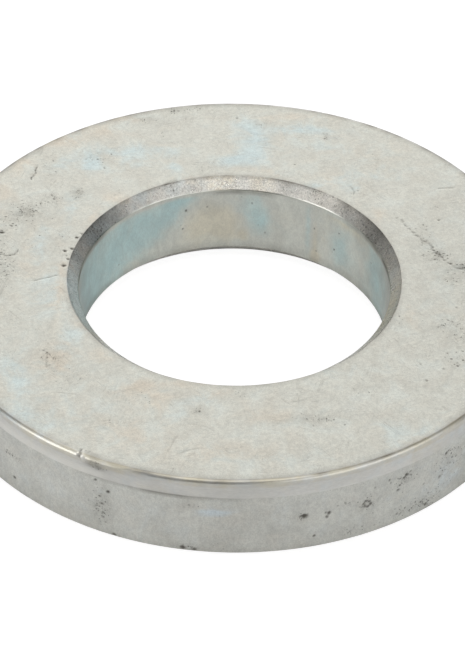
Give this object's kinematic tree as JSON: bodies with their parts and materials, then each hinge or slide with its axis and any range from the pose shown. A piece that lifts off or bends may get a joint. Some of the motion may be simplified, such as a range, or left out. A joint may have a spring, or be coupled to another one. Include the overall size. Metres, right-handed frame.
{
  "type": "flat washer",
  "caption": "Thick turned flat washer with a chamfered bore and a rounded, banded upper rim, that spreads a bolt head's or nut's load over a surface.",
  "frame": {"origin": "on the bore's axis, in the plane of the underside", "axes": "+Z along the bore's axis, towards the banded upper face; +X and +Y lie across the ring, which looks the same along both"},
  "size_m": [0.06, 0.06, 0.01],
  "materials": {
    "zinc_plate": "satin zinc plating with a clear blue passivate, over turned steel"
  },
  "bodies": {
    "root": {"washer_ring": "zinc_plate"}
  },
  "joints": []
}
